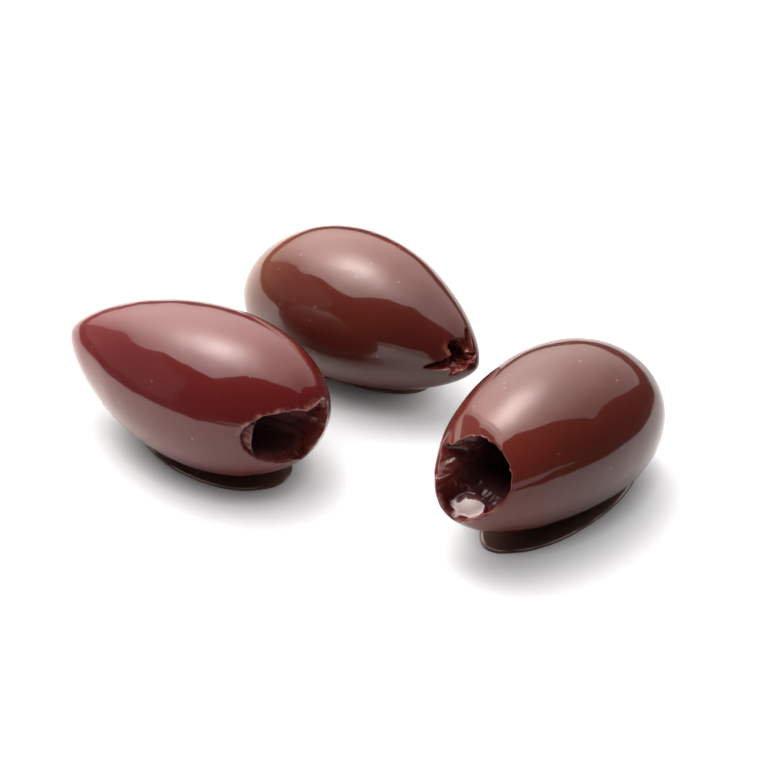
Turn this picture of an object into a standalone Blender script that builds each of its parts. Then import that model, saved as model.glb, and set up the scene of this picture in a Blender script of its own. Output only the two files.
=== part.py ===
"""Three pitted olives lying on a table.

Each olive is one closed surface. It runs over the skin from the closed end to the torn mouth, turns
over the lip, and goes down the flesh to the bottom of the hollow that the stone left.
The origin is on the table, under the middle of the three.
"""

import math
from dataclasses import dataclass

import bpy
import bmesh
from mathutils import Matrix, Vector

MM = 0.001

# How finely each surface is divided.
SEGMENTS = 48
SKIN_RINGS = 15
LIP_RINGS = 2
FLESH_RINGS = 4
HOLLOW_RINGS = 6

# What all three share, in millimetres.
END_ROUNDING = 0.04
FLAT_DEPTH = 0.25

# Other numbers of the construction.
RIM_FADE = 6
SMALL_ANGLE = 0.004
GIRTH_STEPS = 200
THROAT_LENGTH = 0.4
HOLLOW_BLUNTNESS = 2.4


@dataclass
class Lobe:
    """A place on the rim where the tear reaches further out, or less far: angles in degrees."""

    angle: float
    width: float
    reach: float


@dataclass
class Mouth:
    """The torn end: its centre on the olive, its half angle between lobes, its lip's radius in
    millimetres, and whether the flesh drops sheer at the lip, 0, or leans to the throat, 1."""

    along: float
    turn: float
    reach: float
    lobes: tuple
    lip: float
    lean: float


@dataclass
class Hollow:
    """Where the stone was: throat centre in the olive's own axes, radii and depth, in millimetres."""

    throat: tuple
    throat_radius: float
    radius: float
    depth: float


@dataclass
class Olive:
    """Sizes in millimetres, angles in degrees. The mouth end points along the heading."""

    name: str
    place: tuple
    heading: float
    lift: float
    length: float
    girth: float
    tip_taper: float
    mouth_taper: float
    arch: float
    mouth: Mouth
    hollow: Hollow
    colour: tuple
    roughness: float


LEFT = Olive(
    name="olive_left",
    place=(-14.93, -10.36),
    heading=3.8,
    lift=0.5,
    length=32.4,
    girth=17.8,
    tip_taper=0.23,
    mouth_taper=0.02,
    arch=-0.48,
    mouth=Mouth(
        along=0.941,
        turn=180,
        reach=21,
        lobes=(Lobe(25, 16, 11.5), Lobe(161, 44, 10), Lobe(292, 12, 8.5), Lobe(1, 21, 5)),
        lip=0.25,
        lean=0.5,
    ),
    hollow=Hollow(throat=(11.5, -2.3, 0.0), throat_radius=3.4, radius=3.7, depth=16.5),
    colour=(0.115, 0.012, 0.014, 1),
    roughness=0.12,
)

RIGHT = Olive(
    name="olive_right",
    place=(21.59, 3.17),
    heading=-96.7,
    lift=5.5,
    length=31.1,
    girth=18.3,
    tip_taper=-0.08,
    mouth_taper=0.06,
    arch=1.4,
    mouth=Mouth(
        along=0.972,
        turn=76,
        reach=26.3,
        lobes=(Lobe(7, 65, 10), Lobe(110, 50, 5.5), Lobe(165, 16, 11.5), Lobe(259, 27, 11.5)),
        lip=0.25,
        lean=0.6,
    ),
    hollow=Hollow(throat=(9.1, 1.6, 2.6), throat_radius=3.7, radius=3.85, depth=15),
    colour=(0.135, 0.024, 0.016, 1),
    roughness=0.12,
)

REAR = Olive(
    name="olive_rear",
    place=(-7.73, 10.55),
    heading=-1.7,
    lift=5.3,
    length=31.3,
    girth=17.1,
    tip_taper=0.06,
    mouth_taper=0.23,
    arch=1.94,
    mouth=Mouth(
        along=0.948,
        turn=119,
        reach=14,
        lobes=(
            Lobe(27, 14, 15),
            Lobe(206, 15, 22),
            Lobe(237, 13, 19),
            Lobe(275, 35, -5),
            Lobe(346, 8, 6),
        ),
        lip=0.2,
        lean=0.2,
    ),
    hollow=Hollow(throat=(11.4, -1.1, 1.5), throat_radius=1.9, radius=2.0, depth=4.5),
    colour=(0.105, 0.022, 0.012, 1),
    roughness=0.12,
)


def new_collection(name):
    """Makes an empty collection in the scene."""
    collection = bpy.data.collections.new(name)
    bpy.context.scene.collection.children.link(collection)
    return collection


def skin_material(olive):
    """The glossy, wet skin of one olive."""
    material = bpy.data.materials.new(olive.name + "_skin")
    material.use_nodes = True
    shader = material.node_tree.nodes["Principled BSDF"]
    shader.inputs["Base Color"].default_value = olive.colour
    shader.inputs["Roughness"].default_value = olive.roughness
    shader.inputs["Metallic"].default_value = 0
    return material


def taper(olive, s):
    """How far the girth at s, from -1 at the tip to 1 at the mouth end, departs from an ellipse's."""
    tip_side = (1 + s + END_ROUNDING) ** olive.tip_taper
    mouth_side = (1 - s + END_ROUNDING) ** olive.mouth_taper
    return tip_side * mouth_side


def fullest_girth(olive):
    """The largest radius that taper gives on a unit sphere, found by walking along the olive."""
    stations = (-1 + 2 * i / GIRTH_STEPS for i in range(GIRTH_STEPS + 1))
    return max(math.sqrt(1 - s * s) * taper(olive, s) for s in stations)


def body_point(olive, direction, scale):
    """The skin, in the olive's own axes, for a unit direction. scale is what fits the girth."""
    s = direction.x
    across = scale * taper(olive, s)
    lift = olive.arch * (1 - s * s)
    return Vector((olive.length / 2 * s, across * direction.y, across * direction.z + lift))


def mouth_axes(mouth):
    """The mouth's centre as a unit direction, with the directions to its side and up from it."""
    turn = math.radians(mouth.turn)
    off_axis = math.sqrt(1 - mouth.along**2)
    centre = Vector((mouth.along, off_axis * math.cos(turn), off_axis * math.sin(turn)))
    up = Vector((0, 0, 1))
    up = (up - up.dot(centre) * centre).normalized()
    side = up.cross(centre)
    return centre, side, up


def direction_at(axes, reach, around):
    """The unit direction at an angle reach from the mouth's centre, at an angle around it."""
    centre, side, up = axes
    outward = math.cos(around) * side + math.sin(around) * up
    return math.cos(reach) * centre + math.sin(reach) * outward


def rim_reach(mouth, around):
    """How far from the mouth's centre the skin ends, as an angle."""
    reach = mouth.reach
    for lobe in mouth.lobes:
        apart = (math.degrees(around) - lobe.angle + 180) % 360 - 180
        reach += lobe.reach * math.exp(-((apart / lobe.width) ** 2))
    return math.radians(reach)


def bezier(points, t):
    """A point on the cubic curve through four control points."""
    a, b, c, d = points
    u = 1 - t
    return u**3 * a + 3 * u * u * t * b + 3 * u * t * t * c + t**3 * d


class Surface:
    """Places the points of one olive in its own axes, in millimetres."""

    def __init__(self, olive):
        self.olive = olive
        self.axes = mouth_axes(olive.mouth)
        self.scale = olive.girth / 2 / fullest_girth(olive)

    def skin(self, reach, around):
        """The skin at an angle reach from the mouth's centre."""
        return body_point(self.olive, direction_at(self.axes, reach, around), self.scale)

    def skin_ring(self, around, t):
        """From the closed end to the rim. The rim's lobes fade out away from it."""
        plain = math.radians(self.olive.mouth.reach)
        lobes = rim_reach(self.olive.mouth, around) - plain
        return self.skin(math.pi + (plain - math.pi) * t + lobes * t**RIM_FADE, around)

    def rim(self, around):
        """The skin's end at this angle, its outward normal, and the way along it into the mouth."""
        reach = rim_reach(self.olive.mouth, around)
        here = self.skin(reach, around)
        inward = (self.skin(reach - SMALL_ANGLE, around) - here).normalized()
        beside = self.skin(reach, around + SMALL_ANGLE) - self.skin(reach, around - SMALL_ANGLE)
        normal = beside.cross(inward).normalized()
        return here, normal, inward

    def lip(self, around, t):
        """A quarter turn from the skin over the edge."""
        here, normal, inward = self.rim(around)
        radius = self.olive.mouth.lip
        turn = t * math.pi / 2
        return here - radius * normal + radius * (math.cos(turn) * normal + math.sin(turn) * inward)

    def hollow(self, around, t):
        """Down the hollow: it widens past the throat, and closes at its bottom."""
        hollow = self.olive.hollow
        down = math.sin(t * math.pi / 2)
        widening = min(1, down / THROAT_LENGTH)
        radius = hollow.throat_radius + (hollow.radius - hollow.throat_radius) * widening
        radius *= math.sqrt(max(0, 1 - down**HOLLOW_BLUNTNESS))
        x, y, z = hollow.throat
        return Vector(
            (x - hollow.depth * down, y + radius * math.cos(around), z + radius * math.sin(around))
        )

    def flesh(self, around, t):
        """The torn flesh between the lip and the throat."""
        _, normal, _ = self.rim(around)
        lean = self.olive.mouth.lean
        start = self.lip(around, 1)
        end = self.hollow(around, 0)
        pull = (end - start).length / 3
        leaving = (lean * (end - start).normalized() - (1 - lean) * normal).normalized()
        controls = (start, start + pull * leaving, end + Vector((pull, 0, 0)), end)
        return bezier(controls, t)

    def point(self, ring, around):
        """The point on a ring, counted from the closed end to the bottom of the hollow."""
        if ring <= SKIN_RINGS:
            return self.skin_ring(around, ring / SKIN_RINGS)
        ring -= SKIN_RINGS
        if ring <= LIP_RINGS:
            return self.lip(around, ring / LIP_RINGS)
        ring -= LIP_RINGS
        if ring <= FLESH_RINGS:
            return self.flesh(around, ring / FLESH_RINGS)
        ring -= FLESH_RINGS
        return self.hollow(around, ring / HOLLOW_RINGS)


def rest_on_table(olive, mesh):
    """Turns the olive as it lies, lowers it onto the table and flattens what would sink in."""
    turn = Matrix.Rotation(math.radians(olive.heading), 4, "Z")
    lift = Matrix.Rotation(-math.radians(olive.lift), 4, "Y")
    bmesh.ops.transform(mesh, matrix=turn @ lift, verts=mesh.verts)
    lowest = min(vertex.co.z for vertex in mesh.verts)
    for vertex in mesh.verts:
        vertex.co.z = max(0, vertex.co.z - lowest - FLAT_DEPTH)


def make_olive(olive, collection):
    """A sphere whose rings are laid over the skin, the lip, the flesh and the hollow."""
    rings = SKIN_RINGS + LIP_RINGS + FLESH_RINGS + HOLLOW_RINGS
    surface = Surface(olive)
    mesh = bmesh.new()
    bmesh.ops.create_uvsphere(mesh, u_segments=SEGMENTS, v_segments=rings, radius=1)
    for vertex in mesh.verts:
        from_bottom = math.pi - vertex.co.angle(Vector((0, 0, 1)))
        around = math.atan2(vertex.co.y, vertex.co.x)
        vertex.co = surface.point(round(from_bottom / math.pi * rings), around)
    rest_on_table(olive, mesh)
    bmesh.ops.scale(mesh, vec=Vector((MM, MM, MM)), verts=mesh.verts)
    bmesh.ops.recalc_face_normals(mesh, faces=mesh.faces)
    data = bpy.data.meshes.new(olive.name)
    mesh.to_mesh(data)
    mesh.free()
    data.shade_smooth()
    data.materials.append(skin_material(olive))
    result = bpy.data.objects.new(olive.name, data)
    result.location = (olive.place[0] * MM, olive.place[1] * MM, 0)
    collection.objects.link(result)


def build():
    """Clears the scene and makes the three olives."""
    for old in list(bpy.data.objects):
        bpy.data.objects.remove(old, do_unlink=True)
    collection = new_collection("pitted_olives")
    for olive in (LEFT, RIGHT, REAR):
        make_olive(olive, collection)


build()
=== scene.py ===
# %% [markdown]
# Three pitted olives lie on a white table, wet with brine. Nothing in them is straight, so the way
# to a likeness is a dense mesh for each olive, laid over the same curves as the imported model, with
# the small unevenness of real skin and torn flesh pressed into it. The gloss does the rest: a wet
# olive is mostly a mirror of the lights round it, so the lights are made as carefully as the fruit.

import math
from dataclasses import dataclass

import bpy
import numpy as np
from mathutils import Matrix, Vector, noise


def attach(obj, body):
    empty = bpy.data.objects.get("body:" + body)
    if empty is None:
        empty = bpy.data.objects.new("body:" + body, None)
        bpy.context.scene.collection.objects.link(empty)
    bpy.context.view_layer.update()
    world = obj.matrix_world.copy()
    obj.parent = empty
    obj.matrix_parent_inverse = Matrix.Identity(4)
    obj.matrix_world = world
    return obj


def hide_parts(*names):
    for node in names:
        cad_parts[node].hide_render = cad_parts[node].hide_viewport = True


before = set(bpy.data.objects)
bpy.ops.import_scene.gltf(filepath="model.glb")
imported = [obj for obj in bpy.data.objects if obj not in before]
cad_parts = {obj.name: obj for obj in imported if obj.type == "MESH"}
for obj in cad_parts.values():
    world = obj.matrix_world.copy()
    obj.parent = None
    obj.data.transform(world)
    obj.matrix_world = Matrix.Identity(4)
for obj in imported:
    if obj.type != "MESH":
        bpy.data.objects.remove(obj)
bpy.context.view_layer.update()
MM = 0.001
print("packed nodes:", sorted(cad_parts))

# %% [markdown]
# The photograph was taken from half a metre away with a long lens, looking down at 38 degrees.
# The camera stands there. The set is then easiest to lay out as the photographer saw it: right,
# away from the camera, and up, measured from the spot on the table in the middle of the picture.

# %% Stand the camera where the photographer stood
LOOK_AT = Vector((-4.63, 10.12, 0))
CAMERA_TURN = math.radians(36)
CAMERA_RISE = math.radians(38)
CAMERA_DISTANCE = 500
LENS = 210.9
SENSOR = 36


def on_set(right, away, up):
    """A point of the set, in mm as the camera sees it, turned into metres in the olives' frame."""
    x = right * math.cos(CAMERA_TURN) - away * math.sin(CAMERA_TURN)
    y = right * math.sin(CAMERA_TURN) + away * math.cos(CAMERA_TURN)
    return (LOOK_AT + Vector((x, y, up))) * MM


def add_camera():
    """A long lens, aimed at the middle of the picture."""
    data = bpy.data.cameras.new("camera")
    data.lens = LENS
    data.sensor_width = SENSOR
    data.clip_start = 0.01
    data.clip_end = 10
    camera = bpy.data.objects.new("camera", data)
    back = CAMERA_DISTANCE * math.cos(CAMERA_RISE)
    camera.location = on_set(0, -back, CAMERA_DISTANCE * math.sin(CAMERA_RISE))
    aim = LOOK_AT * MM - camera.location
    camera.rotation_euler = aim.to_track_quat("-Z", "Y").to_euler()
    bpy.context.scene.collection.objects.link(camera)
    bpy.context.scene.camera = camera
    return camera


camera = add_camera()
print("camera, mm:", [round(v / MM) for v in camera.location])

# %% [markdown]
# Materials are built from shader nodes, and so are the rules of Geometry Nodes. A few short helpers
# keep that readable: one adds a node and fills its sockets, with a value or with another node's
# output, and the others do arithmetic, mix two colours, or turn one range of values into another.

# %% Helpers for shader nodes
def add_node(tree, kind, sockets=None, **settings):
    """Adds a node. sockets maps a socket's name or number to a value or to another node's output."""
    node = tree.nodes.new(kind)
    for name, value in settings.items():
        setattr(node, name, value)
    for key, value in (sockets or {}).items():
        if isinstance(value, bpy.types.NodeSocket):
            tree.links.new(value, node.inputs[key])
        else:
            node.inputs[key].default_value = value
    return node


def start_material(name):
    """A material with nothing in it but its output."""
    material = bpy.data.materials.new(name)
    material.use_nodes = True
    material.node_tree.nodes.clear()
    output = material.node_tree.nodes.new("ShaderNodeOutputMaterial")
    return material, material.node_tree, output


def maths(tree, operation, *values):
    """One step of arithmetic on values or on other nodes' outputs."""
    return add_node(tree, "ShaderNodeMath", dict(enumerate(values)), operation=operation).outputs[0]


def vector_maths(tree, operation, *values):
    """One step of arithmetic on vectors. A length or a dot product comes out as a plain value."""
    node = add_node(tree, "ShaderNodeVectorMath", dict(enumerate(values)), operation=operation)
    return node.outputs["Value" if operation in ("LENGTH", "DOT_PRODUCT") else "Vector"]


def mix(tree, amount, one, two):
    """A colour between one and two."""
    return add_node(tree, "ShaderNodeMixRGB", {0: amount, 1: one, 2: two}).outputs[0]


def ramp(tree, value, span, ends=(0.0, 1.0)):
    """Goes straight from one end to the other while the value crosses the span."""
    sockets = {"Value": value, "From Min": span[0], "From Max": span[1], "To Min": ends[0], "To Max": ends[1]}
    return add_node(tree, "ShaderNodeMapRange", sockets).outputs[0]


helpers = (add_node, start_material, maths, vector_maths, mix, ramp)
print("helpers:", ", ".join(helper.__name__ for helper in helpers))

# %% [markdown]
# The table is matt white. Only the part of it near the olives shows in their skin: behind them the
# skin mirrors a dark room over the table's edge. So the floor has two parts that look the same to
# the camera, and the outer one is hidden from reflections. The photograph was printed with light
# shadows and a table that is only just white, so what the camera sees of it is set apart from what
# the olives see. The camera gets a greyer table with a little lift in its shadows, and less lift
# the closer an olive comes, which keeps the shadow dark where they touch. The olives see a table
# with painted light on its left and painted shade on its right and behind them.

# %% Lay the table
TABLE_PALE = (0.46, 0.50, 0.53, 1)
TABLE_PALEST = (0.47, 0.51, 0.54, 1)
TABLE_MOTTLE_SCALE = 40.0
TABLE_SEEN_LEFT = (0.80, 0.80, 0.80, 1)
TABLE_SEEN_RIGHT = (0.48, 0.52, 0.54, 1)
TABLE_FADE = 0.045
TABLE_DIMS = (0.005, 0.025)
TABLE_DIM = 0.62
TABLE_LIFT = 0.27
CONTACT_REACH = 3.2
CONTACT_DEPTH = 1.5
CONTACT_SAMPLES = 8
NEAR_LEFT = -82
NEAR_RIGHT = 64
NEAR_AWAY = 67
NEAR_TOWARD = 600
FAR = 4000


def table_material():
    """Matt white with a barely visible mottle, lifted a little for the camera."""
    material, tree, output = start_material("table_white")
    seen = add_node(tree, "ShaderNodeLightPath").outputs["Is Camera Ray"]
    place = add_node(tree, "ShaderNodeTexCoord").outputs["Object"]
    mottle = add_node(tree, "ShaderNodeTexNoise", {"Vector": place, "Scale": TABLE_MOTTLE_SCALE})
    shade = mix(tree, mottle.outputs["Fac"], TABLE_PALE, TABLE_PALEST)
    across = vector_maths(tree, "DOT_PRODUCT", place, (math.cos(CAMERA_TURN), math.sin(CAMERA_TURN), 0))
    away = vector_maths(tree, "DOT_PRODUCT", place, (-math.sin(CAMERA_TURN), math.cos(CAMERA_TURN), 0))
    side = ramp(tree, across, (-TABLE_FADE, TABLE_FADE))
    # For the olives: painted light on the left of the table, painted shade on its right and behind them.
    for_olives = mix(tree, side, TABLE_SEEN_LEFT, TABLE_SEEN_RIGHT)
    dim = ramp(tree, away, TABLE_DIMS, (1.0, TABLE_DIM))
    dimmed = add_node(tree, "ShaderNodeVectorMath", {0: for_olives, "Scale": dim}, operation="SCALE")
    colour = mix(tree, seen, dimmed.outputs[0], shade)
    nearby = {"Distance": CONTACT_REACH * MM}
    open_to_light = add_node(tree, "ShaderNodeAmbientOcclusion", nearby, samples=CONTACT_SAMPLES)
    contact = maths(tree, "POWER", open_to_light.outputs["AO"], CONTACT_DEPTH)
    lift = maths(tree, "MULTIPLY", maths(tree, "MULTIPLY", seen, TABLE_LIFT), contact)
    matt = add_node(tree, "ShaderNodeBsdfDiffuse", {"Color": colour})
    glow = add_node(tree, "ShaderNodeEmission", {"Color": (1, 1, 1, 1), "Strength": lift})
    both = add_node(tree, "ShaderNodeAddShader", {0: matt.outputs[0], 1: glow.outputs[0]})
    tree.links.new(both.outputs[0], output.inputs["Surface"])
    return material


def add_sheet(name, quads, material):
    """A stage object from quads of points on the set."""
    corners = [tuple(on_set(*point)) for quad in quads for point in quad]
    faces = [tuple(range(4 * i, 4 * i + 4)) for i in range(len(quads))]
    mesh = bpy.data.meshes.new(name)
    mesh.from_pydata(corners, [], faces)
    mesh.materials.append(material)
    sheet = bpy.data.objects.new(name, mesh)
    bpy.context.scene.collection.objects.link(sheet)
    return sheet


def flat_quad(x0, x1, y0, y1):
    """A level rectangle of the table."""
    return [(x0, y0, 0), (x1, y0, 0), (x1, y1, 0), (x0, y1, 0)]


table = table_material()
add_sheet("near_table", [flat_quad(NEAR_LEFT, NEAR_RIGHT, -NEAR_TOWARD, NEAR_AWAY)], table)
far_table = add_sheet(
    "far_table",
    [
        flat_quad(-FAR, NEAR_LEFT, -FAR, FAR),
        flat_quad(NEAR_RIGHT, FAR, -FAR, FAR),
        flat_quad(NEAR_LEFT, NEAR_RIGHT, NEAR_AWAY, FAR),
        flat_quad(NEAR_LEFT, NEAR_RIGHT, -FAR, -NEAR_TOWARD),
    ],
    table,
)
far_table.visible_glossy = False
print("table laid, near part mm:", NEAR_RIGHT - NEAR_LEFT, "x", NEAR_TOWARD + NEAR_AWAY)

# %% [markdown]
# The main light is a big sheet of white cloth that hangs over the table and curves down behind it.
# Its outline is what the eye reads as the edge of the pale patch on each olive, so its near edge
# isn't straight: it reaches furthest left of the middle and is cut back at the left corner, as the
# photograph's patches show. A lamp behind the cloth makes one bright, round patch, with a wider and
# weaker bloom further left, and the cloth warms the light a little. The camera itself doesn't see
# the sheet, so it is hidden from the camera alone.

# %% Hang the light sheet
SHEET_HALF_WIDTH = 840
SHEET_NEAR_EDGE = (
    (-1.0, 330),
    (-0.84, 150),
    (-0.72, 90),
    (-0.62, 30),
    (-0.53, -70),
    (-0.42, -190),
    (-0.32, -240),
    (0.0, -160),
    (0.3, -140),
    (1.0, -120),
)
SHEET_FAR_LEFT = 1000
SHEET_FAR_RIGHT = 690
SHEET_LOW_EDGE = ((-1.0, 0), (-0.1, 0), (0.3, 90), (1.0, 60))
SHEET_DROP = ((0.0, 500), (0.25, 490), (0.40, 420), (0.55, 310), (0.75, 160), (0.9, 60), (1.0, 2))
SHEET_COLUMNS = 32
SHEET_ROWS = 24
LAMP_SPOT = (-104, 118, 475)
LAMP_REACH = 142
LAMP_GLOW = 11
BLOOM_SPOT = (-200, 200, 475)
BLOOM_REACH = 480
BLOOM_GLOW = 4.8
CLOTH_GLOW = 1.05
CLOTH_TINT = (1, 0.90, 0.85, 1)


def sheet_point(across, along):
    """A point of the sheet: across from -1 at the left to 1, along from 0 at its near edge to 1."""
    near = np.interp(across, *zip(*SHEET_NEAR_EDGE))
    far = np.interp(across, (-1, 1), (SHEET_FAR_LEFT, SHEET_FAR_RIGHT))
    low = np.interp(across, *zip(*SHEET_LOW_EDGE))
    height = max(low, np.interp(along, *zip(*SHEET_DROP)))
    return across * SHEET_HALF_WIDTH, near + (far - near) * along, height


def grid_quads(point, columns, rows):
    """Quads over a surface that point(across, along) describes."""
    across = np.linspace(-1, 1, columns + 1)
    along = np.linspace(0, 1, rows + 1)
    quads = []
    for a0, a1 in zip(across, across[1:]):
        for b0, b1 in zip(along, along[1:]):
            quads.append([point(a0, b0), point(a0, b1), point(a1, b1), point(a1, b0)])
    return quads


def glow_material(name, glow):
    """An evenly lit white surface."""
    material, tree, output = start_material(name)
    light = add_node(tree, "ShaderNodeEmission", {"Color": (1, 1, 1, 1), "Strength": glow})
    tree.links.new(light.outputs[0], output.inputs["Surface"])
    return material


def round_glow(tree, place, spot, reach, peak):
    """A glow round a spot of the set, which fades as a bell curve does."""
    distance = vector_maths(tree, "LENGTH", vector_maths(tree, "SUBTRACT", place, tuple(on_set(*spot))))
    square = maths(tree, "POWER", maths(tree, "DIVIDE", distance, reach * MM), 2.0)
    return maths(tree, "MULTIPLY", maths(tree, "POWER", math.exp(-1), square), peak)


def lamp_cloth_material():
    """Lit cloth: bright where the lamp stands behind it, with a wide bloom to the left of that."""
    material, tree, output = start_material("light_cloth")
    place = add_node(tree, "ShaderNodeTexCoord").outputs["Object"]
    core = round_glow(tree, place, LAMP_SPOT, LAMP_REACH, LAMP_GLOW)
    bloom = round_glow(tree, place, BLOOM_SPOT, BLOOM_REACH, BLOOM_GLOW)
    glow = maths(tree, "ADD", maths(tree, "ADD", core, bloom), CLOTH_GLOW)
    light = add_node(tree, "ShaderNodeEmission", {"Color": CLOTH_TINT, "Strength": glow})
    tree.links.new(light.outputs[0], output.inputs["Surface"])
    return material


cloth_quads = grid_quads(sheet_point, SHEET_COLUMNS, SHEET_ROWS)
light_cloth = add_sheet("light_cloth", cloth_quads, lamp_cloth_material())
light_cloth.visible_camera = False
print("light sheet, mm wide:", 2 * SHEET_HALF_WIDTH)

# %% [markdown]
# Two plain surfaces go round the table: a low white card in front of it, which fills the olives'
# near sides, and a dim wall on the left. Neither is seen by the camera.

# %% Set the card and the wall
CARD_GLOW = 1.0
CARD_AWAY = -520
CARD_TOP = ((-450, 1), (-250, 30), (0, 75), (200, 90), (500, 60), (1000, 1))
WALL_GLOW = 0.3
WALL_RIGHT = -1500
WALL_NEAR = -900
WALL_FAR = 1500
WALL_HEIGHT = 1200


def card_quads():
    """The standing card, higher in its middle."""
    quads = []
    for (x0, top0), (x1, top1) in zip(CARD_TOP, CARD_TOP[1:]):
        quads.append([(x0, CARD_AWAY, 0), (x0, CARD_AWAY, top0), (x1, CARD_AWAY, top1), (x1, CARD_AWAY, 0)])
    return quads


near_card = add_sheet("near_card", card_quads(), glow_material("card_white", CARD_GLOW))
near_card.visible_camera = False
wall = [
    (WALL_RIGHT, WALL_NEAR, 0),
    (WALL_RIGHT, WALL_FAR, 0),
    (WALL_RIGHT, WALL_FAR, WALL_HEIGHT),
    (WALL_RIGHT, WALL_NEAR, WALL_HEIGHT),
]
left_wall = add_sheet("left_wall", [wall], glow_material("wall_grey", WALL_GLOW))
left_wall.visible_camera = False
print("card, mm wide:", CARD_TOP[-1][0] - CARD_TOP[0][0])

# %% [markdown]
# The rest of the room is nearly black, and that darkness is what draws the deep red band between
# the two reflections on each olive. Only where the camera looks past the table is it pale. Colours
# are shown as they are, with no film curve over them, so that they can be matched by measuring.

# %% Darken the room
ROOM_GLOW = 0.02
PALE_BACKGROUND = 0.9


def light_room():
    """A dark room for the reflections, pale where the camera looks past the table."""
    world = bpy.data.worlds.new("room")
    world.use_nodes = True
    tree = world.node_tree
    tree.nodes.clear()
    rays = add_node(tree, "ShaderNodeLightPath")
    strength = ramp(tree, rays.outputs["Is Camera Ray"], (0.0, 1.0), (ROOM_GLOW, PALE_BACKGROUND))
    room = add_node(tree, "ShaderNodeBackground", {"Color": (1, 1, 1, 1), "Strength": strength})
    output = tree.nodes.new("ShaderNodeOutputWorld")
    tree.links.new(room.outputs[0], output.inputs["Surface"])
    bpy.context.scene.world = world


light_room()
bpy.context.scene.view_settings.view_transform = "Standard"
print("room glow:", ROOM_GLOW)

# %% [markdown]
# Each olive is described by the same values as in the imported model: its place and tilt, the length
# and girth of its body, how its ends taper, the outline of its torn mouth as an angle round the
# mouth's centre with lobes where the tear reaches further, and the hollow that the stone left.

# %% Describe the olives
@dataclass
class Olive:
    """Sizes in millimetres, angles in degrees. The mouth end points along the heading."""

    name: str
    slot: str
    place: tuple
    heading: float
    lift: float
    length: float
    girth: float
    tip_taper: float
    mouth_taper: float
    arch: float
    mouth_along: float
    mouth_turn: float
    mouth_reach: float
    lobes: tuple
    lip: float
    lean: float
    throat: tuple
    throat_radius: float
    hollow_radius: float
    hollow_depth: float


LEFT = Olive(
    name="olive_left_flesh_and_skin",
    slot="skin_left",
    place=(-14.93, -10.36),
    heading=3.8,
    lift=0.5,
    length=32.4,
    girth=17.8,
    tip_taper=0.23,
    mouth_taper=0.02,
    arch=-0.48,
    mouth_along=0.941,
    mouth_turn=180,
    mouth_reach=21,
    lobes=((25, 16, 11.5), (161, 44, 10), (292, 12, 8.5), (1, 21, 5)),
    lip=0.25,
    lean=0.5,
    throat=(11.5, -2.3, 0.0),
    throat_radius=3.4,
    hollow_radius=3.7,
    hollow_depth=16.5,
)

RIGHT = Olive(
    name="olive_right_flesh_and_skin",
    slot="skin_right",
    place=(21.59, 3.17),
    heading=-96.7,
    lift=5.5,
    length=31.1,
    girth=18.3,
    tip_taper=-0.08,
    mouth_taper=0.06,
    arch=1.4,
    mouth_along=0.972,
    mouth_turn=76,
    mouth_reach=26.3,
    lobes=((7, 65, 10), (110, 50, 5.5), (165, 16, 11.5), (259, 27, 11.5)),
    lip=0.25,
    lean=0.6,
    throat=(9.1, 1.6, 2.6),
    throat_radius=3.7,
    hollow_radius=3.85,
    hollow_depth=15,
)

REAR = Olive(
    name="olive_rear_flesh_and_skin",
    slot="skin_rear",
    place=(-7.73, 10.55),
    heading=-1.7,
    lift=5.3,
    length=31.3,
    girth=17.1,
    tip_taper=0.06,
    mouth_taper=0.23,
    arch=1.94,
    mouth_along=0.948,
    mouth_turn=119,
    mouth_reach=14,
    lobes=((27, 14, 15), (206, 15, 22), (237, 13, 19), (275, 35, -5), (346, 8, 6)),
    lip=0.2,
    lean=0.2,
    throat=(11.4, -1.1, 1.5),
    throat_radius=1.9,
    hollow_radius=2.0,
    hollow_depth=4.5,
)

for olive in (LEFT, RIGHT, REAR):
    print(olive.name, "is", olive.length, "mm long and", olive.girth, "mm across")

# %% [markdown]
# The body is an ellipse whose girth is tapered towards either end and whose middle is arched up a
# little. A point on it is found from a direction: an angle out from the mouth's centre and an angle
# round it. NumPy works this out for every point of the mesh at once.

# %% The body's curve
END_ROUNDING = 0.04


def unit(vectors):
    """The same directions at length one."""
    return vectors / np.linalg.norm(vectors, axis=-1, keepdims=True)


def taper(olive, s):
    """How far the girth at s, from -1 at the tip to 1 at the mouth end, departs from an ellipse's."""
    return (1 + s + END_ROUNDING) ** olive.tip_taper * (1 - s + END_ROUNDING) ** olive.mouth_taper


def girth_scale(olive):
    """What fits the tapered ellipse to the olive's girth."""
    s = np.linspace(-1, 1, 201)
    return olive.girth / 2 / np.max(np.sqrt(1 - s * s) * taper(olive, s))


def mouth_axes(olive):
    """The mouth's centre as a direction, with the directions to its side and up from it."""
    turn = math.radians(olive.mouth_turn)
    off_axis = math.sqrt(1 - olive.mouth_along**2)
    centre = np.array((olive.mouth_along, off_axis * math.cos(turn), off_axis * math.sin(turn)))
    up = np.array((0.0, 0.0, 1.0))
    up = unit(up - up.dot(centre) * centre)
    return centre, np.cross(up, centre), up


def skin(olive, reach, around):
    """The skin at an angle reach from the mouth's centre, at an angle around it."""
    centre, side, up = mouth_axes(olive)
    outward = np.cos(around)[..., None] * side + np.sin(around)[..., None] * up
    direction = np.cos(reach)[..., None] * centre + np.sin(reach)[..., None] * outward
    s = np.clip(direction[..., 0], -1, 1)
    across = girth_scale(olive) * taper(olive, s)
    lift = olive.arch * (1 - s * s)
    return np.stack((olive.length / 2 * s, across * direction[..., 1], across * direction[..., 2] + lift), -1)


for olive in (LEFT, RIGHT, REAR):
    print(olive.slot, "body, widest without its taper, mm:", round(2 * float(girth_scale(olive)), 1))

# %% [markdown]
# The skin stops at the rim of the tear. How far the tear reaches from the mouth's centre is its
# plain reach and a bump for each lobe. The rim of a real tear is never smooth, so a little noise,
# the same on every run, is added. The rim's own directions tell the lip later which way to turn.

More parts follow.
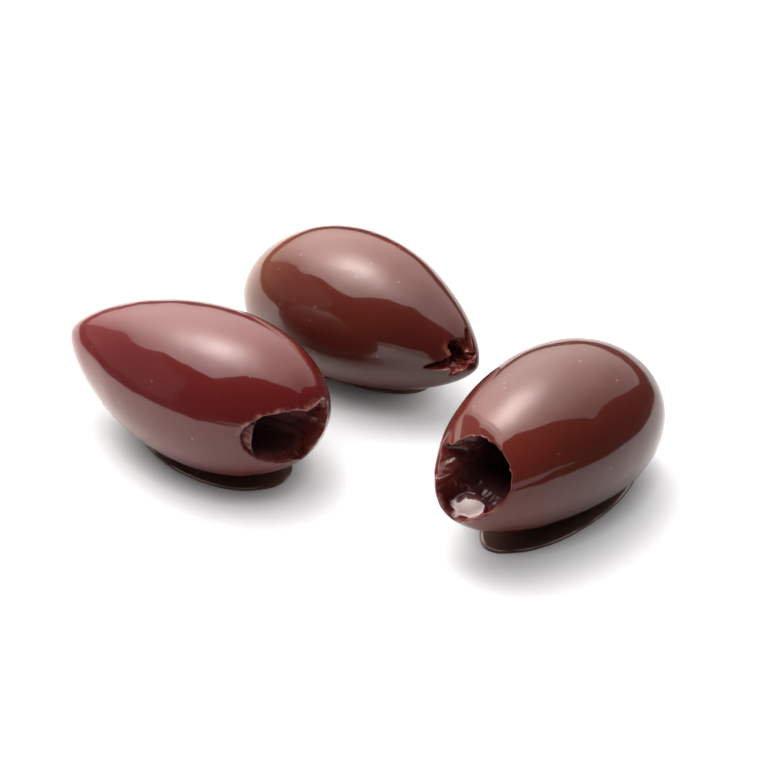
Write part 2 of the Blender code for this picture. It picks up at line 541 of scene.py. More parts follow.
# %% Tear the mouth
RIM_RAGGEDNESS = {"skin_left": 0.9, "skin_right": 0.8, "skin_rear": 1.6}
RIM_NOTCHES = 5.0
RIM_SMOOTHNESS = 0.7
SMALL_ANGLE = 0.004


def rim_reach(olive, around):
    """How far from the mouth's centre the skin ends, as an angle."""
    reach = np.full_like(around, float(olive.mouth_reach))
    for angle, width, extra in olive.lobes:
        apart = (np.degrees(around) - angle + 180) % 360 - 180
        reach = reach + extra * np.exp(-((apart / width) ** 2))
    notches = []
    for a in around.ravel():
        spot = Vector((math.cos(a) * RIM_NOTCHES, math.sin(a) * RIM_NOTCHES, olive.length))
        notches.append(noise.fractal(spot, RIM_SMOOTHNESS, 2.0, 4))
    return np.radians(reach + RIM_RAGGEDNESS[olive.slot] * np.array(notches).reshape(around.shape))


def rim(olive, around):
    """The skin's end, its outward normal and the way along it into the mouth, for each angle."""
    reach = rim_reach(olive, around)
    here = skin(olive, reach, around)
    inward = unit(skin(olive, reach - SMALL_ANGLE, around) - here)
    beside = skin(olive, reach, around + SMALL_ANGLE) - skin(olive, reach, around - SMALL_ANGLE)
    return reach, here, unit(np.cross(beside, inward)), inward


for olive in (LEFT, RIGHT, REAR):
    reaches = np.degrees(rim_reach(olive, np.linspace(0, 2 * math.pi, 73)))
    print(olive.slot, "tear reaches", round(reaches.min()), "to", round(reaches.max()), "degrees")

# %% [markdown]
# At the rim the skin turns over a thin lip, and torn flesh leads in a curve to the throat of the
# hollow. The hollow widens past its throat and closes in a round bottom, as the stone's bed does.

# %% Bore the hollow
THROAT_LENGTH = 0.4
HOLLOW_BLUNTNESS = 2.4


def hollow(olive, around, t):
    """Down the hollow: it widens past the throat and closes at its bottom."""
    down = math.sin(t * math.pi / 2)
    widening = min(1, down / THROAT_LENGTH)
    radius = olive.throat_radius + (olive.hollow_radius - olive.throat_radius) * widening
    radius *= math.sqrt(max(0, 1 - down**HOLLOW_BLUNTNESS))
    x, y, z = olive.throat
    run = np.full_like(around, x - olive.hollow_depth * down)
    return np.stack((run, y + radius * np.cos(around), z + radius * np.sin(around)), -1)


def bezier(points, t):
    """A point on the cubic curve through four control points."""
    a, b, c, d = points
    u = 1 - t
    return u**3 * a + 3 * u * u * t * b + 3 * u * t * t * c + t**3 * d


print("deepest hollow, mm:", max(olive.hollow_depth for olive in (LEFT, RIGHT, REAR)))

# %% [markdown]
# The mesh is a grid: each column runs from the closed end over the skin, the lip and the flesh to
# the bottom of the hollow, and each row is a ring. Rings are closer together near the rim, where
# the detail is. Each ring keeps its stage, a number from 0 at the closed end to 4 at the bottom of
# the hollow, by which the relief and the materials know skin, lip, flesh and hollow.

# %% Lay the rings
SEGMENTS = 288
SKIN_ROWS = 150
LIP_ROWS = 6
FLESH_ROWS = 64
HOLLOW_ROWS = 44
ROW_CROWDING = 1.35
RIM_FADE = 6


def lay_rings(olive):
    """Returns the rings' points, with each ring's stage: 0-1 skin, 1-2 lip, 2-3 flesh, 3-4 hollow."""
    around = np.linspace(0, 2 * math.pi, SEGMENTS, endpoint=False)
    reach, here, normal, inward = rim(olive, around)
    plain = math.radians(olive.mouth_reach)
    rows = []
    stages = []
    for row in range(SKIN_ROWS + 1):
        t = 1 - (1 - row / SKIN_ROWS) ** ROW_CROWDING
        out = math.pi + (plain - math.pi) * t + (reach - plain) * t**RIM_FADE
        rows.append(skin(olive, out, around))
        stages.append(t)
    for row in range(1, LIP_ROWS + 1):
        turn = row / LIP_ROWS * math.pi / 2
        swing = math.cos(turn) * normal + math.sin(turn) * inward
        rows.append(here - olive.lip * normal + olive.lip * swing)
        stages.append(1 + row / LIP_ROWS)
    start = rows[-1]
    end = hollow(olive, around, 0)
    pull = np.linalg.norm(end - start, axis=-1, keepdims=True) / 3
    leaving = unit(olive.lean * unit(end - start) - (1 - olive.lean) * normal)
    ahead = pull * np.array((1.0, 0.0, 0.0))
    controls = (start, start + pull * leaving, end + ahead, end)
    for row in range(1, FLESH_ROWS + 1):
        rows.append(bezier(controls, row / FLESH_ROWS))
        stages.append(2 + row / FLESH_ROWS)
    for row in range(1, HOLLOW_ROWS + 1):
        rows.append(hollow(olive, around, row / HOLLOW_ROWS))
        stages.append(3 + row / HOLLOW_ROWS)
    return np.array(rows), np.array(stages), around


def outward_normals(rows):
    """The normal at each point of the grid, from its neighbours."""
    along = np.gradient(rows, axis=0)
    beside = np.roll(rows, -1, axis=1) - np.roll(rows, 1, axis=1)
    normals = np.cross(beside, along)
    size = np.linalg.norm(normals, axis=-1, keepdims=True)
    return normals / np.maximum(size, 1e-9)


RINGS = 1 + SKIN_ROWS + LIP_ROWS + FLESH_ROWS + HOLLOW_ROWS
print("rings in an olive:", RINGS, "of", SEGMENTS, "points")

# %% [markdown]
# Olive skin looks smooth, but the outlines of the pale reflections waver, so it has waves less than
# a tenth of a millimetre high, and finer dimples. They are real relief, pushed along the normals.

# %% Ripple the skin
WAVE_SIZE = 6.5
WAVE_HEIGHT = 0.07
DIMPLE_SIZE = 1.7
DIMPLE_HEIGHT = 0.011
DIMPLE_SEED = 5
SKIN_END = 1.4
SKIN_FADE = 0.6


def noise_field(points, size, octaves=1, seed=0.0):
    """Smooth noise at every point, about -1 to 1, with bumps of the given size in mm."""
    flat = points.reshape(-1, 3) / size + seed
    values = [noise.fractal(Vector(p), 1.0, 2.0, octaves) for p in flat]
    return np.array(values).reshape(points.shape[:-1])


def skin_relief(rows, stages, seed):
    """Waves and dimples of the skin, in mm, which fade out over the lip."""
    on_skin = (1 - np.clip((stages - SKIN_END) / SKIN_FADE, 0, 1))[:, None]
    waves = WAVE_HEIGHT * noise_field(rows, WAVE_SIZE, 2, seed)
    dimples = DIMPLE_HEIGHT * noise_field(rows, DIMPLE_SIZE, 2, seed + DIMPLE_SEED)
    return on_skin * (waves + dimples)


print("waves of the skin, mm high:", WAVE_HEIGHT)

# %% [markdown]
# Over the right olive's mouth the skin bends inward along a crease, so that the facet between the
# crease and the rim mirrors a darker part of the set. The crease is a line of angles: how far out
# from the mouth's centre it lies, for some directions round it.

# %% Crease the right olive
CREASE_ANGLES = (60, 79, 106, 136, 145, 165, 190)
CREASE_REACH = (33, 37.1, 39.5, 47.5, 42.3, 41.1, 35)
CREASE_SLOPE = 0.045
CREASE_DEPTH = 0.03
CREASE_WIDTH = 0.7
CREASE_END = 2.4
CREASE_FADE = 0.9


def crease_relief(olive, rows, stages, around):
    """The facet over the right olive's mouth: the skin bends inward along a crease, in mm."""
    if olive.slot != "skin_right":
        return 0.0
    centre, _, _ = mouth_axes(olive)
    t = 1 - (1 - np.arange(SKIN_ROWS + 1) / SKIN_ROWS) ** ROW_CROWDING
    plain = math.radians(olive.mouth_reach)
    lobes = rim_reach(olive, around) - plain
    reach = np.degrees(math.pi + (plain - math.pi) * t[:, None] + lobes * t[:, None] ** RIM_FADE)
    reach = np.concatenate((reach, np.repeat(reach[-1:], len(rows) - len(reach), axis=0)))
    line = np.interp(np.degrees(around) % 360, CREASE_ANGLES, CREASE_REACH, left=0, right=0)
    inside = np.maximum(0, line - reach)
    groove = CREASE_DEPTH * np.exp(-(((reach - line) / CREASE_WIDTH) ** 2))
    fading = np.clip((CREASE_END - stages) / CREASE_FADE, 0, 1)[:, None]
    return -fading * (CREASE_SLOPE * inside + groove)


print("crease, mm deep:", CREASE_DEPTH)

# %% [markdown]
# Low in the same mouth lies a flange of flesh, so smooth and wet that it mirrors the cloth. For that
# its face has to slope one way in the set, so it is cut once the olive lies in place: a gently
# domed face, with a drop past its edge, that fades out at both ends.

# %% Shape the flange in the right mouth
SHELF_ANGLES = (210, 225, 240, 255, 270, 285, 300, 315, 325)
SHELF_EDGE = (2.4, 2.65, 2.68, 2.68, 2.64, 2.5, 2.35, 2.15, 2.02)
SHELF_ENDS = (204, 216, 318, 330)
SHELF_START = 2.02
SHELF_RISE = 0.2
SHELF_EDGE_WIDTH = 0.04
SHELF_SPOT = (20.07, -8.54, 7.75)
SHELF_SLOPE = (-0.054, 0.339)
SHELF_CURVE = 8
SHELF_REACH = 3.3
SHELF_DROP = 0.7
DROP_RISE = 0.07
DROP_END = 0.15
DROP_FADE = 0.3


def soft_step(values):
    """0 up to 0, 1 from 1 on, with a soft rise between."""
    values = np.clip(values, 0, 1)
    return values * values * (3 - 2 * values)


def shelf_shares(olive, stages, around):
    """How far each point is on the right olive's flange of flesh, and how far it is just past its edge."""
    if olive.slot != "skin_right":
        return np.zeros((2, len(stages), len(around)))
    degrees = np.degrees(around) % 360
    past = stages[:, None] - np.interp(degrees, SHELF_ANGLES, SHELF_EDGE)
    round_it = soft_step(np.interp(degrees, SHELF_ENDS, (0, 1, 1, 0)))
    inside = soft_step((stages - SHELF_START) / SHELF_RISE)[:, None]
    on_it = inside * (1 - soft_step(past / SHELF_EDGE_WIDTH + 0.5)) * round_it
    beyond = soft_step(past / DROP_RISE) * (1 - soft_step((past - DROP_END) / DROP_FADE)) * round_it
    return np.stack((on_it, beyond))


def cut_shelf(points, on_it, beyond):
    """Levels the flange to a smooth, gently curved face, with a drop past its edge."""
    x, y, z = np.moveaxis(points, -1, 0)
    dx = x - SHELF_SPOT[0]
    dy = y - SHELF_SPOT[1]
    apart = dx * dx + dy * dy
    level = SHELF_SPOT[2] + SHELF_SLOPE[0] * dx + SHELF_SLOPE[1] * dy - apart / (2 * SHELF_CURVE)
    share = on_it * np.exp(-((apart / SHELF_REACH**2) ** 2))
    return np.stack((x, y, z + share * (level - z) - SHELF_DROP * beyond), -1)


print("drop past the flange, mm:", SHELF_DROP)

# %% [markdown]
# At the left end of the left olive's mouth the lip overhangs: the flesh behind it is torn away, so
# the eye looks under the skin into shadow. It is a push inward, from the lip down to the throat.

# %% Undercut the left lip
UNDERCUT_ANGLES = (128, 150, 215, 240)
UNDERCUT_DEPTH = 0.8
UNDERCUT_START = 2.0
UNDERCUT_RISE = 0.3
UNDERCUT_END = 3.0
UNDERCUT_FADE = 0.9


def undercut(olive, stages, around):
    """Where the left olive's lip overhangs: the flesh behind it is torn away, in mm."""
    if olive.slot != "skin_left":
        return 0.0
    side = soft_step(np.interp(np.degrees(around) % 360, UNDERCUT_ANGLES, (0, 1, 1, 0)))
    rising = soft_step((stages - UNDERCUT_START) / UNDERCUT_RISE)
    behind = rising * (1 - soft_step((stages - UNDERCUT_END) / UNDERCUT_FADE))
    return -UNDERCUT_DEPTH * behind[:, None] * side


print("undercut, mm deep:", UNDERCUT_DEPTH)

# %% [markdown]
# Torn flesh is far rougher than skin. Its fibres run from the lip to the throat, so their noise is
# read round the mouth and along the stages, and lumps are laid over them.

# %% Roughen the flesh
FIBRE_HEIGHT = {"skin_left": 0.18, "skin_right": 0.14, "skin_rear": 0.3}
FIBRES_ROUND = 4.5
LUMP_HEIGHT = {"skin_left": 0.16, "skin_right": 0.14, "skin_rear": 0.42}
LUMP_SIZE = {"skin_left": 1.3, "skin_right": 1.2, "skin_rear": 1.1}
LUMP_SEED = 9
FLESH_START = 1.9
FLESH_RISE = 0.35
FLESH_END = 4.0
FLESH_FADE = 0.3
HOLLOW_CALM = 0.6


def flesh_relief(olive, rows, stages, around, seed):
    """Fibres and lumps of the torn flesh, in mm, calmer down the hollow."""
    rising = np.clip((stages - FLESH_START) / FLESH_RISE, 0, 1)
    in_flesh = rising * np.clip((FLESH_END - stages) / FLESH_FADE, 0, 1)
    deep = 1 - HOLLOW_CALM * np.clip(stages - 3, 0, 1)
    ring = np.stack((np.cos(around), np.sin(around)), -1) * FIBRES_ROUND
    round_it = np.broadcast_to(ring, rows.shape[:2] + (2,))
    down_it = np.broadcast_to(stages[:, None, None], rows.shape[:2] + (1,))
    spread = np.concatenate((round_it, down_it), -1)
    fibres = FIBRE_HEIGHT[olive.slot] * noise_field(spread, 1.0, 3, seed)
    lumps = LUMP_HEIGHT[olive.slot] * noise_field(rows, LUMP_SIZE[olive.slot], 3, seed + LUMP_SEED)
    return (in_flesh * deep)[:, None] * (fibres + lumps)


print("highest lumps of flesh, mm:", max(LUMP_HEIGHT.values()))

# %% [markdown]
# The finished rings are turned and tilted as the olive lies and lowered onto the table, where the
# lowest skin is pressed flat. Then they are joined into one closed mesh, with a single point at
# each end.

# %% Settle the rings and join them
FLAT_DEPTH = 0.25


def settle(olive, rows, lowest):
    """Tilts and turns the points as the olive lies, rests it on the table and puts it in place."""
    lift = math.radians(olive.lift)
    heading = math.radians(olive.heading)
    x, y, z = np.moveaxis(rows, -1, 0)
    x, z = x * math.cos(lift) - z * math.sin(lift), x * math.sin(lift) + z * math.cos(lift)
    x, y = x * math.cos(heading) - y * math.sin(heading), x * math.sin(heading) + y * math.cos(heading)
    lowest = z.min() if lowest is None else lowest
    settled = np.stack((x + olive.place[0], y + olive.place[1], np.maximum(0, z - lowest - FLAT_DEPTH)), -1)
    return settled, lowest


def grid_faces(row_count):
    """Quads between the rings, and a fan of triangles at each end."""
    last = (row_count - 2) * SEGMENTS
    faces = []
    for column in range(SEGMENTS):
        beside = (column + 1) % SEGMENTS
        faces.append((0, 1 + beside, 1 + column))
        faces.append((last + 1, last + 1 - SEGMENTS + column, last + 1 - SEGMENTS + beside))
        for row in range(row_count - 3):
            a = 1 + row * SEGMENTS
            b = a + SEGMENTS
            faces.append((a + column, a + beside, b + beside, b + column))
    return faces


def point_values(values, row_count):
    """One value for each point of the mesh, from a grid with a row for each ring."""
    grid = np.broadcast_to(values if values.ndim == 2 else values[:, None], (row_count, SEGMENTS))
    return np.concatenate((grid[:1, 0], grid[1:-1].ravel(), grid[-1:, 0])).astype(np.float32)


print("faces in an olive's mesh:", len(grid_faces(RINGS)))

# %% [markdown]
# Named values carry what the materials need along with the mesh: how far a point is in the flesh,
# how wet it is, how deep it lies, which is where the hollow's flesh gets painted light, where along
# the fruit it is, and where the torn edge of the skin shows as a pale line, part pale torn flesh and
# part painted highlight of the lit rim. Torn flesh is less wet than skin, but the flange is as wet as
# the skin.

# %% Mark the lip and make a mesh
PALE_LIP_AND_HIGHLIGHT = {"skin_left": (80, 82), "skin_right": (265, 80), "skin_rear": (195, 60)}
PALE_ON_SKIN = 0.010
PALE_ON_FLESH = 0.06
SHELF_SMOOTHING = 0.92
FLESH_DULLNESS = 0.45
REDDER_START = 1.5
REDDER_RISE = 0.5
DEEP_START = 2.2
DEEP_RISE = 1.2


def pale_lip_and_highlight(olive, stages, around):
    """Where the torn edge shows pale, part pale flesh and part painted highlight: a narrow line along one
    side of the mouth.
    """
    middle, spread = PALE_LIP_AND_HIGHLIGHT[olive.slot]
    apart = (np.degrees(around) - middle + 180) % 360 - 180
    before = np.maximum(1 - stages, 0) / PALE_ON_SKIN
    after = np.maximum(stages - 2, 0) / PALE_ON_FLESH
    return np.exp(-(before**2) - after**2)[:, None] * np.exp(-((apart / spread) ** 4))


def make_olive(olive, seed):
    """The olive's skin, lip, flesh and hollow as one closed mesh."""
    rows, stages, around = lay_rings(olive)
    _, lowest = settle(olive, rows, None)
    normals = outward_normals(rows)
    relief = skin_relief(rows, stages, seed) + crease_relief(olive, rows, stages, around)
    relief = relief + undercut(olive, stages, around)
    on_it, beyond = shelf_shares(olive, stages, around)
    relief = relief + (1 - SHELF_SMOOTHING * on_it) * flesh_relief(olive, rows, stages, around, seed)
    along = rows[..., 0] / (olive.length / 2)
    rows = rows + relief[..., None] * normals
    settled, _ = settle(olive, rows, lowest)
    settled = cut_shelf(settled, on_it, beyond)
    points = np.concatenate((settled[:1, 0], settled[1:-1].reshape(-1, 3), settled[-1:, 0])) * MM
    mesh = bpy.data.meshes.new(olive.name)
    mesh.from_pydata(points.tolist(), [], grid_faces(len(rows)))
    in_flesh = np.clip((stages - REDDER_START) / REDDER_RISE, 0, 1)
    values = {
        "flesh": in_flesh,
        "wet": 1 - FLESH_DULLNESS * in_flesh[:, None] * (1 - on_it),
        # lip: the pale torn edge, part pale flesh and part painted highlight of the lit rim.
        "lip": pale_lip_and_highlight(olive, stages, around),
        # deep: how far down the hollow a point lies, which is where the flesh's colour is painted paler as
        # painted light.
        "deep": np.clip((stages - DEEP_START) / DEEP_RISE, 0, 1),
        "along": along,
    }
    for name, value in values.items():
        attribute = mesh.attributes.new(name, "FLOAT", "POINT")
        attribute.data.foreach_set("value", point_values(value, len(rows)))
    mesh.shade_smooth()
    mesh.update()
    return mesh


print("pale lips, middle and spread in degrees:", PALE_LIP_AND_HIGHLIGHT)

# %% [markdown]
# Each olive has its own colours: its skin at the tip, the middle and the mouth, the mottling, the
# flesh near the skin, the flesh deep in the hollow, painted paler there as painted light, and the
# pale torn edge, partly a painted highlight. They are linear values, as the shader takes them, so
# they look darker as numbers than the olives do.

# %% Choose the colours
@dataclass
class Finish:
    """Linear colours of one olive."""

    tip: tuple
    middle: tuple
    mouth: tuple
    mottle: tuple
    flesh: tuple
    # The flesh's colour deep in the hollow, painted paler as painted light.
    flesh_deep_painted_light: tuple
    # The pale torn edge's colour, part pale flesh and part painted highlight of the lit rim.
    lip: tuple


FINISHES = {
    "skin_left": Finish(
        tip=(0.115, 0.014, 0.016),
        middle=(0.082, 0.009, 0.010),
        mouth=(0.080, 0.008, 0.008),
        mottle=(0.105, 0.018, 0.016),
        flesh=(0.115, 0.020, 0.016),
        flesh_deep_painted_light=(0.200, 0.085, 0.085),
        lip=(0.30, 0.12, 0.10),
    ),
    "skin_right": Finish(
        tip=(0.060, 0.011, 0.008),
        middle=(0.064, 0.011, 0.0075),
        mouth=(0.095, 0.014, 0.009),
        mottle=(0.085, 0.018, 0.012),
        flesh=(0.080, 0.012, 0.010),
        flesh_deep_painted_light=(0.080, 0.034, 0.038),
        lip=(0.20, 0.075, 0.06),
    ),
    "skin_rear": Finish(
        tip=(0.128, 0.043, 0.016),
        middle=(0.078, 0.014, 0.009),
        mouth=(0.055, 0.008, 0.006),
        mottle=(0.095, 0.024, 0.012),
        flesh=(0.170, 0.030, 0.024),
        flesh_deep_painted_light=(0.200, 0.050, 0.045),
        lip=(0.24, 0.07, 0.05),
    ),
}

print("finishes:", ", ".join(FINISHES))

# %% [markdown]
# The skin is a dark red brown under a clear coat of brine. The coat is what shines. The colour
# under it drifts along the fruit and from place to place, with small pale breathing pores. The
# flesh is redder and rougher, and paler deep in the hollow, where that paleness is painted light.
# The torn edge is drawn in a broken pale line, part pale torn flesh and part painted highlight.
# Skin and flesh share one material, because they pass into each other over the lip.

# %% Mix the skin and flesh
MOTTLE_SCALE = 170.0
MOTTLE_SPAN = (0.45, 0.75)
MOTTLE_SHARE = 0.14
TIP_SPAN = (-0.95, -0.25)
MOUTH_SPAN = (0.1, 0.8)
PORE_SCALE = 420.0
PORE_SPAN = (0.088, 0.055)
PORE_SHARE = 0.14
PORE_PALE = (0.50, 0.32, 0.28, 1)
SHRED_SCALE = 900.0
SHRED_DARKNESS = 0.55
LIP_BREAKS = (0.4, 0.65)
GRAIN_SCALE = 1500.0
GRAIN_STRENGTH = 0.12
GRAIN_DEPTH = 0.00006
COAT_STRENGTH = 0.25
COAT_DEPTH = 0.00008
COAT_IOR = 1.42
COAT_GLOSS = 0.02
SKIN_IOR = 1.4
SKIN_GLOSS = 0.28
SKIN_SHINE = 0.12
SKIN_SCATTER = 0.0006
SKIN_SCATTER_SHARE = 0.15
SKIN_SCATTER_COLOUR = (1.0, 0.25, 0.2)


def value_of(tree, name):
    """One of the mesh's named values."""
    return add_node(tree, "ShaderNodeAttribute", attribute_name=name).outputs["Fac"]


def between(tree, value, low, high):
    """0 where the value is low, 1 where it is high, with a soft step."""
    sockets = {"Value": value, "From Min": low, "From Max": high}
    return add_node(tree, "ShaderNodeMapRange", sockets, interpolation_type="SMOOTHSTEP").outputs[0]


def skin_colour(tree, place, finish, mottle):
    """The skin's colour along the fruit, with its mottling and pores."""
    along = value_of(tree, "along")
    to_mouth = mix(tree, between(tree, along, *MOUTH_SPAN), (*finish.middle, 1), (*finish.mouth, 1))
    colour = mix(tree, between(tree, along, *TIP_SPAN), (*finish.tip, 1), to_mouth)
    spots = between(tree, mottle, *MOTTLE_SPAN)
    colour = mix(tree, maths(tree, "MULTIPLY", spots, MOTTLE_SHARE), colour, (*finish.mottle, 1))
    pores = add_node(tree, "ShaderNodeTexVoronoi", {"Vector": place, "Scale": PORE_SCALE})
    pore = between(tree, pores.outputs["Distance"], *PORE_SPAN)
    return mix(tree, maths(tree, "MULTIPLY", pore, PORE_SHARE), colour, PORE_PALE)


def skin_and_flesh_material(slot):
    """Wet skin and wet torn flesh in one material, told apart by the mesh's own values."""
    finish = FINISHES[slot]
    material, tree, output = start_material(slot + "_wet")
    place = add_node(tree, "ShaderNodeTexCoord").outputs["Object"]
    cloudy = {"Vector": place, "Scale": MOTTLE_SCALE, "Detail": 3.0}
    mottle = add_node(tree, "ShaderNodeTexNoise", cloudy).outputs["Fac"]
    torn = {"Vector": place, "Scale": SHRED_SCALE, "Detail": 4.0}
    shreds = add_node(tree, "ShaderNodeTexNoise", torn).outputs["Fac"]
    darker = tuple(c * SHRED_DARKNESS for c in finish.flesh) + (1,)
    flesh = mix(tree, shreds, (*finish.flesh, 1), darker)
    # Deeper in the hollow the flesh takes a paler colour: painted light where little real light gets in.
    flesh = mix(tree, value_of(tree, "deep"), flesh, (*finish.flesh_deep_painted_light, 1))
    colour = mix(tree, value_of(tree, "flesh"), skin_colour(tree, place, finish, mottle), flesh)
    # The pale line along the torn edge is part pale flesh and part painted highlight of the lit rim.
    edge = maths(tree, "MULTIPLY", value_of(tree, "lip"), between(tree, shreds, *LIP_BREAKS))
    colour = mix(tree, edge, colour, (*finish.lip, 1))

    grains = {"Vector": place, "Scale": GRAIN_SCALE, "Detail": 3.0}
    fine = add_node(tree, "ShaderNodeTexNoise", grains).outputs["Fac"]
    under = {"Height": fine, "Strength": GRAIN_STRENGTH, "Distance": GRAIN_DEPTH}
    over = {"Height": mottle, "Strength": COAT_STRENGTH, "Distance": COAT_DEPTH}
    surface = add_node(
        tree,
        "ShaderNodeBsdfPrincipled",
        {
            "Base Color": colour,
            "Roughness": SKIN_GLOSS,
            "IOR": SKIN_IOR,
            "Subsurface Weight": SKIN_SCATTER_SHARE,
            "Subsurface Radius": SKIN_SCATTER_COLOUR,
            "Subsurface Scale": SKIN_SCATTER,
            "Coat Weight": value_of(tree, "wet"),
            "Coat Roughness": COAT_GLOSS,
            "Coat IOR": COAT_IOR,
            "Specular IOR Level": SKIN_SHINE,
            "Normal": add_node(tree, "ShaderNodeBump", under).outputs[0],
            "Coat Normal": add_node(tree, "ShaderNodeBump", over).outputs[0],
        },
    )
    tree.links.new(surface.outputs[0], output.inputs["Surface"])
    return material


print("scatter under the skin, mm:", SKIN_SCATTER / MM)

# %% [markdown]
# Each olive is made from its description and takes the place of its imported node. Each has its own
# seed, so that no two are uneven in the same way. All three ride on the one body that there is, and
# an olive's slot picks its finish and names its material.

# %% Make the three olives
NODE_OF = {"skin_left": "olive_left", "skin_right": "olive_right", "skin_rear": "olive_rear"}
olives = {}
for seed, olive in ((3.1, LEFT), (7.7, RIGHT), (12.9, REAR)):
    mesh = make_olive(olive, seed)
    mesh.materials.append(skin_and_flesh_material(olive.slot))
    piece = bpy.data.objects.new(olive.name, mesh)
    bpy.context.scene.collection.objects.link(piece)
    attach(piece, "root")
    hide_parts(NODE_OF[olive.slot])
    olives[olive.slot] = piece
    mesh.calc_loop_triangles()
    print(olive.name, "has", len(mesh.loop_triangles), "triangles")

# %% [markdown]
# Brine has run off the olives and stands under each as a thin film, held by its own surface: flat
# in the middle and rounded at its edge. It is dark brown, because it mirrors the fruit, and a
# painted highlight, a pale line, breaks up along its edge. All three films follow one rule with
# other sizes, so one Geometry Nodes tree makes them.

# %% Describe the films of brine
@dataclass
class Film:
    """A film of brine, in mm, with its long side turned from +X by an angle in degrees."""

    place: tuple
    half_length: float
    half_width: float
    turn: float
    seed: float


FILMS = {
    "left": Film((-12.6, -10.0), 9.3, 5.6, 0, 1.0),
    "right": Film((22.5, 5.0), 11.6, 5.2, 83.3, 4.0),
    "rear": Film((-8.9, 12.1), 8.6, 4.4, 3, 9.0),
}
FILM_DEPTH = 0.22
FILM_EDGE = 0.09
FILM_WAVINESS = 0.1
FILM_SEGMENTS = 192
FILM_RINGS = 96

print("films:", ", ".join(FILMS), "and", FILM_DEPTH, "mm deep")

# %% [markdown]
# The tree starts from a round mesh. It presses its lower half flat, levels its top, rounds it off
# within a narrow edge, and makes its outline uneven by noise that is read round the film. Before
# the points move, each one's distance from the middle is stored under the name outward, because
# the material draws the line of light by it.

# %% Build the rule for a film
RIPPLE_SCALE = 1.3
FILM_INPUTS = (
    ("Half Length", "NodeSocketFloat"),
    ("Half Width", "NodeSocketFloat"),
    ("Depth", "NodeSocketFloat"),
    ("Waviness", "NodeSocketFloat"),
    ("Turn", "NodeSocketFloat"),
    ("Place", "NodeSocketVector"),
    ("Seed", "NodeSocketFloat"),
    ("Material", "NodeSocketMaterial"),
)


def film_tree():
    """The tree, with a named input for each size."""
    tree = bpy.data.node_groups.new("brine_film", "GeometryNodeTree")
    for name, kind in FILM_INPUTS:
        tree.interface.new_socket(name, in_out="INPUT", socket_type=kind)
    tree.interface.new_socket("Film", in_out="OUTPUT", socket_type="NodeSocketGeometry")
    given = tree.nodes.new("NodeGroupInput").outputs
    fineness = {"Segments": FILM_SEGMENTS, "Rings": FILM_RINGS, "Radius": 1.0}
    ball = add_node(tree, "GeometryNodeMeshUVSphere", fineness)
    position = add_node(tree, "GeometryNodeInputPosition").outputs[0]
    where = add_node(tree, "ShaderNodeSeparateXYZ", {0: position}).outputs
    flat_way = add_node(tree, "ShaderNodeCombineXYZ", {"X": where["X"], "Y": where["Y"]}).outputs[0]
    rippling = {"Vector": flat_way, "W": given["Seed"], "Scale": RIPPLE_SCALE, "Detail": 2.0}
    ripple = add_node(tree, "ShaderNodeTexNoise", rippling, noise_dimensions="4D").outputs[0]
    centred = maths(tree, "SUBTRACT", ripple, 0.5)
    swell = maths(tree, "MULTIPLY_ADD", centred, given["Waviness"], 1.0)
    long_way = maths(tree, "MULTIPLY", maths(tree, "MULTIPLY", where["X"], given["Half Length"]), swell)
    short_way = maths(tree, "MULTIPLY", maths(tree, "MULTIPLY", where["Y"], given["Half Width"]), swell)
    out = vector_maths(tree, "LENGTH", flat_way)
    in_edge = ramp(tree, out, (1 - FILM_EDGE, 1.0))
    round_off = maths(tree, "SUBTRACT", 1.0, maths(tree, "POWER", in_edge, 2.0))
    level = maths(tree, "POWER", round_off, 0.5)
    upper = maths(tree, "MULTIPLY", level, maths(tree, "GREATER_THAN", where["Z"], 0.0))
    height = maths(tree, "MULTIPLY", upper, given["Depth"])
    place = add_node(tree, "ShaderNodeCombineXYZ", {"X": long_way, "Y": short_way, "Z": height}).outputs[0]
    turning = {"Vector": place, "Angle": given["Turn"]}
    turned = add_node(tree, "ShaderNodeVectorRotate", turning, rotation_type="Z_AXIS").outputs[0]
    moved = vector_maths(tree, "ADD", turned, given["Place"])
    marking = {"Geometry": ball.outputs[0], "Name": "outward", "Value": out}
    marked = add_node(tree, "GeometryNodeStoreNamedAttribute", marking).outputs[0]
    laid = add_node(tree, "GeometryNodeSetPosition", {"Geometry": marked, "Position": moved}).outputs[0]
    smooth = add_node(tree, "GeometryNodeSetShadeSmooth", {"Geometry": laid}).outputs[0]
    real = add_node(tree, "GeometryNodeRealizeInstances", {0: smooth}).outputs[0]
    dressing = {"Geometry": real, "Material": given["Material"]}
    wet = add_node(tree, "GeometryNodeSetMaterial", dressing)
    output = tree.nodes.new("NodeGroupOutput")
    tree.links.new(wet.outputs[0], output.inputs[0])
    return tree


def fill_inputs(modifier, values):
    """Sets a Geometry Nodes modifier's inputs by their names' identifiers."""
    for item in modifier.node_group.interface.items_tree:
        if item.in_out == "INPUT" and item.name in values:
            modifier[item.identifier] = values[item.name]


def plain_mesh(piece):
    """Turns what the modifiers make into the object's own mesh, and removes them."""
    depsgraph = bpy.context.evaluated_depsgraph_get()
    made = bpy.data.meshes.new_from_object(piece.evaluated_get(depsgraph), depsgraph=depsgraph)
    piece.modifiers.clear()
    piece.data = made


brine_rule = film_tree()
print("steps in the film's rule:", len(brine_rule.nodes))

# %% [markdown]
# The brine is as glossy as glass and cloudy with shreds of fruit. The real edge catches a line of
# light too thin for the gloss alone to draw, so its colour is paler there, in a line that noise
# breaks up.

# %% Mix the brine
BRINE_DARK = (0.170, 0.105, 0.085, 1)
BRINE_PALE = (0.220, 0.140, 0.110, 1)
BRINE_CLOUDS = 260.0
BRINE_EDGE_HIGHLIGHT = (0.80, 0.72, 0.68, 1)
EDGE_HIGHLIGHT_BAND = (0.955, 0.966, 0.974, 0.985)
EDGE_NOISE = 210.0
EDGE_BREAKS = (0.42, 0.58)
BRINE_GLOSS = 0.02
BRINE_IOR = 1.35


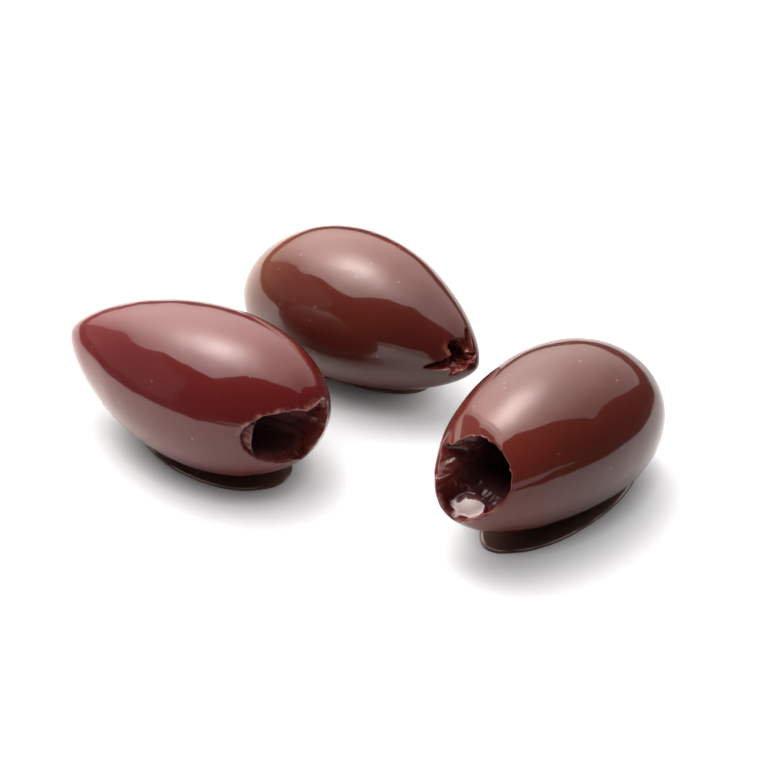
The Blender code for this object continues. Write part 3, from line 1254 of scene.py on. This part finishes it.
def brine_material():
    """Dark brown brine with a painted highlight, a broken pale line, near its edge."""
    material, tree, output = start_material("brine")
    place = add_node(tree, "ShaderNodeTexCoord").outputs["Object"]
    clouds = {"Vector": place, "Scale": BRINE_CLOUDS, "Detail": 2.0}
    cloudy = add_node(tree, "ShaderNodeTexNoise", clouds).outputs["Fac"]
    colour = mix(tree, cloudy, BRINE_DARK, BRINE_PALE)
    outward = value_of(tree, "outward")
    # The pale line near the film's edge is a painted highlight, where the rounded edge catches the light.
    begins = between(tree, outward, EDGE_HIGHLIGHT_BAND[0], EDGE_HIGHLIGHT_BAND[1])
    ends = between(tree, outward, EDGE_HIGHLIGHT_BAND[3], EDGE_HIGHLIGHT_BAND[2])
    line = maths(tree, "MULTIPLY", begins, ends)
    breaks = {"Vector": place, "Scale": EDGE_NOISE, "Detail": 1.0}
    broken = add_node(tree, "ShaderNodeTexNoise", breaks).outputs["Fac"]
    shown = maths(tree, "MULTIPLY", line, between(tree, broken, *EDGE_BREAKS))
    colour = mix(tree, shown, colour, BRINE_EDGE_HIGHLIGHT)
    sockets = {"Base Color": colour, "Roughness": BRINE_GLOSS, "IOR": BRINE_IOR}
    liquid = add_node(tree, "ShaderNodeBsdfPrincipled", sockets)
    tree.links.new(liquid.outputs[0], output.inputs["Surface"])
    return material


brine = brine_material()
print("brine colours, linear:", BRINE_DARK[:3], "to", BRINE_PALE[:3])

# %% [markdown]
# Each film gets its sizes through the tree's inputs. What the tree makes is then turned into a
# plain mesh, because the export takes meshes and no modifiers. It rides on the same body as the
# olives.

# %% Run the brine
def run_brine(name, film, tree, material):
    """One film as a plain mesh."""
    piece = bpy.data.objects.new("brine_under_" + name, bpy.data.meshes.new("brine_under_" + name))
    bpy.context.scene.collection.objects.link(piece)
    modifier = piece.modifiers.new("film", "NODES")
    modifier.node_group = tree
    fill_inputs(
        modifier,
        {
            "Half Length": film.half_length * MM,
            "Half Width": film.half_width * MM,
            "Depth": FILM_DEPTH * MM,
            "Waviness": FILM_WAVINESS,
            "Turn": math.radians(film.turn),
            "Place": (film.place[0] * MM, film.place[1] * MM, 0.0),
            "Seed": film.seed,
            "Material": material,
        },
    )
    plain_mesh(piece)
    return piece


for name, film in FILMS.items():
    piece = run_brine(name, film, brine_rule, brine)
    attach(piece, "root")
    print(piece.name, "has", len(piece.data.polygons), "faces")
